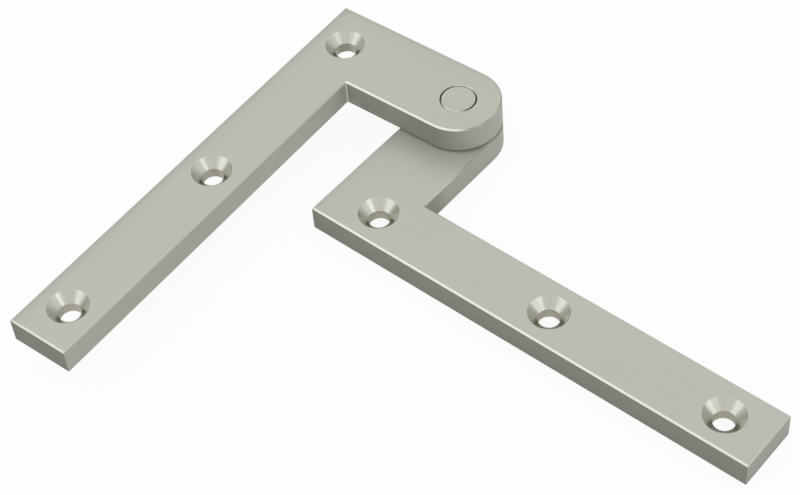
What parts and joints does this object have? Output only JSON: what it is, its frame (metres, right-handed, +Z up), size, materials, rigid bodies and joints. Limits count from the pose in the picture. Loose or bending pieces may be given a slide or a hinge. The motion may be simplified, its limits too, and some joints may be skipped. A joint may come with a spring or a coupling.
{
  "type": "pivot hinge",
  "caption": "Offset pivot hinge: flat cranked leaves that turn about a flush headed pin, with three countersunk screw holes along each long arm.",
  "frame": {"origin": "where the pivot axis meets the underside of the lower leaf", "axes": "+Z up along the pivot axis, +X along the long arm of the lower leaf towards its square end"},
  "size_m": [0.1408, 0.1126, 0.0137],
  "materials": {
    "leaf": "satin nickel plated",
    "pin": "satin nickel plated",
    "washer": "plain bronze strip"
  },
  "bodies": {
    "lower": {"lower_leaf": "leaf", "pivot_pin": "pin", "thrust_washer": "washer"},
    "upper": {"upper_leaf": "leaf"}
  },
  "joints": [
    {"name": "pivot", "type": "hinge", "parent": "lower", "child": "upper", "pos_m": [0, 0, 0], "axis": [0, 0, 1], "continuous": true}
  ]
}
